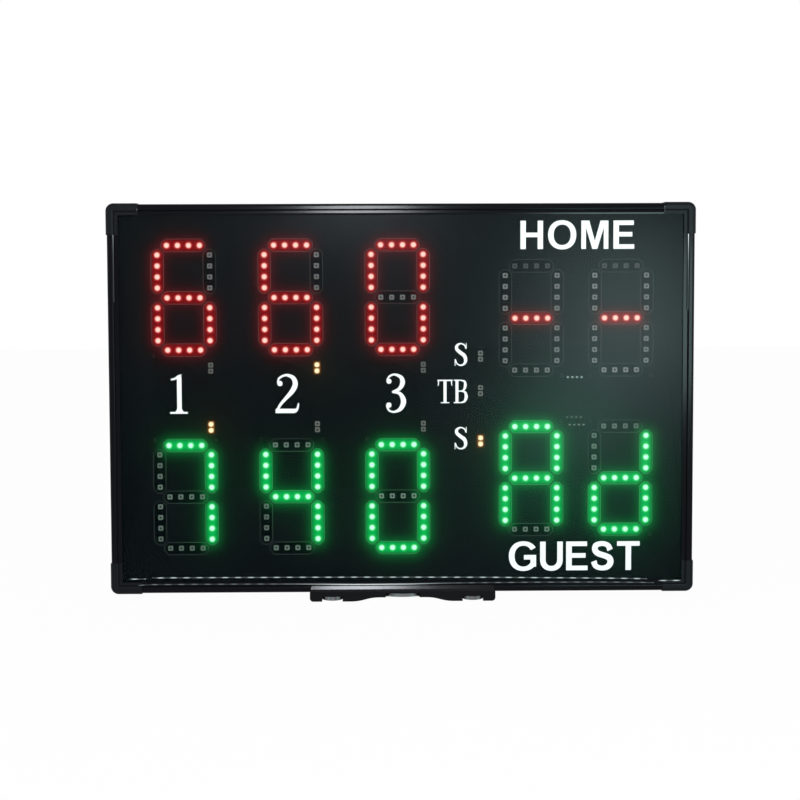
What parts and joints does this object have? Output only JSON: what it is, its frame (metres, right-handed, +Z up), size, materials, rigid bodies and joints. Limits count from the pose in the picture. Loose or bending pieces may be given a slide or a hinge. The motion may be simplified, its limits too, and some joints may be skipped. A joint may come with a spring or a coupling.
{
  "type": "electronic scoreboard",
  "caption": "Slim framed electronic scoreboard with segment digits behind a smoked window, on a clamp bracket with knurled screws for a tripod.",
  "frame": {"origin": "bottom centre of the whole object, on the plane that the clamp bracket's feet stand on", "axes": "+X to the viewer's right, +Y away from the viewer towards the rear panel, +Z up; the lit face looks along -Y"},
  "size_m": [0.6, 0.043, 0.4082],
  "materials": {
    "rail": "satin black anodised",
    "corner_cap": "moulded, dark grey, satin",
    "steel": "zinc plated",
    "window": "smoked, polished",
    "seal": "foam",
    "mask": "matte black",
    "red_lamp": "clear lamp body",
    "green_lamp": "clear lamp body",
    "amber_lamp": "clear lamp body",
    "circuit_board": "solder resist",
    "spacer": "moulded",
    "connector": "moulded",
    "ribbon": "vinyl",
    "chip": "moulded",
    "lead": "vinyl",
    "inner_plastic": "moulded",
    "cell": "sleeved",
    "rear_panel": "powder coated",
    "switch": "moulded",
    "bracket": "satin black",
    "knurled_steel": "turned and knurled",
    "clamp_pad": "moulded nylon"
  },
  "bodies": {
    "board": {"battery_cells": "cell", "battery_contacts": "steel", "battery_cradle": "inner_plastic", "battery_hatch": "rear_panel", "board_plugs": "connector", "board_screws": "steel", "board_spacers": "spacer", "bottom_rail": "rail", "charging_socket": "switch", "charging_socket_nut": "steel", "clamp_pad_left": "clamp_pad", "clamp_pad_right": "clamp_pad", "control_board": "circuit_board", "control_parts": "chip", "control_stand_offs": "spacer", "corner_angles": "steel", "corner_cap_bottom_left": "corner_cap", "corner_cap_bottom_right": "corner_cap", "corner_cap_top_left": "corner_cap", "corner_cap_top_right": "corner_cap", "corner_screws": "steel", "front_window": "window", "guest_game_left_board": "circuit_board", "guest_game_right_board": "circuit_board", "guest_lamps": "green_lamp", "guest_set_1_board": "circuit_board", "guest_set_2_board": "circuit_board", "guest_set_3_board": "circuit_board", "hatch_screws": "steel", "home_game_left_board": "circuit_board", "home_game_right_board": "circuit_board", "home_lamps": "red_lamp", "home_set_1_board": "circuit_board", "home_set_2_board": "circuit_board", "home_set_3_board": "circuit_board", "inner_leads": "lead", "left_rail": "rail", "marker_lamps": "amber_lamp", "nut_retainer": "steel", "rear_panel": "rear_panel", "rear_panel_screws": "steel", "receiver_aerial": "lead", "receiver_module": "circuit_board", "retainer_screws": "steel", "ribbon_cables": "ribbon", "right_rail": "rail", "segment_mask": "mask", "serve_board": "circuit_board", "stand_bracket": "bracket", "switch_housing": "switch", "top_rail": "rail", "wall_hanger_left": "steel", "wall_hanger_right": "steel", "window_gasket": "seal", "window_packers": "seal"},
    "rocker": {"switch_rocker": "switch"},
    "screw_left": {"clamp_screw_left": "knurled_steel"},
    "screw_right": {"clamp_screw_right": "knurled_steel"},
    "tripod_wheel": {"tripod_nut": "knurled_steel"}
  },
  "joints": [
    {"name": "power_rocker", "type": "hinge", "parent": "board", "child": "rocker", "pos_m": [0.052, 0.015, 0.0582], "axis": [1, 0, 0], "range_deg": [-19.38, 0]},
    {"name": "clamp_screw_turn_left", "type": "hinge", "parent": "board", "child": "screw_left", "pos_m": [-0.0723, -0.0115, 0.0028], "axis": [0, 0, 1], "range_deg": [-360, 0]},
    {"name": "clamp_screw_turn_right", "type": "hinge", "parent": "board", "child": "screw_right", "pos_m": [0.0723, -0.0115, 0.0028], "axis": [0, 0, 1], "range_deg": [-360, 0]},
    {"name": "tripod_wheel_turn", "type": "hinge", "parent": "board", "child": "tripod_wheel", "pos_m": [0, -0.0045, 0.0061], "axis": [0, 0, 1], "continuous": true}
  ]
}
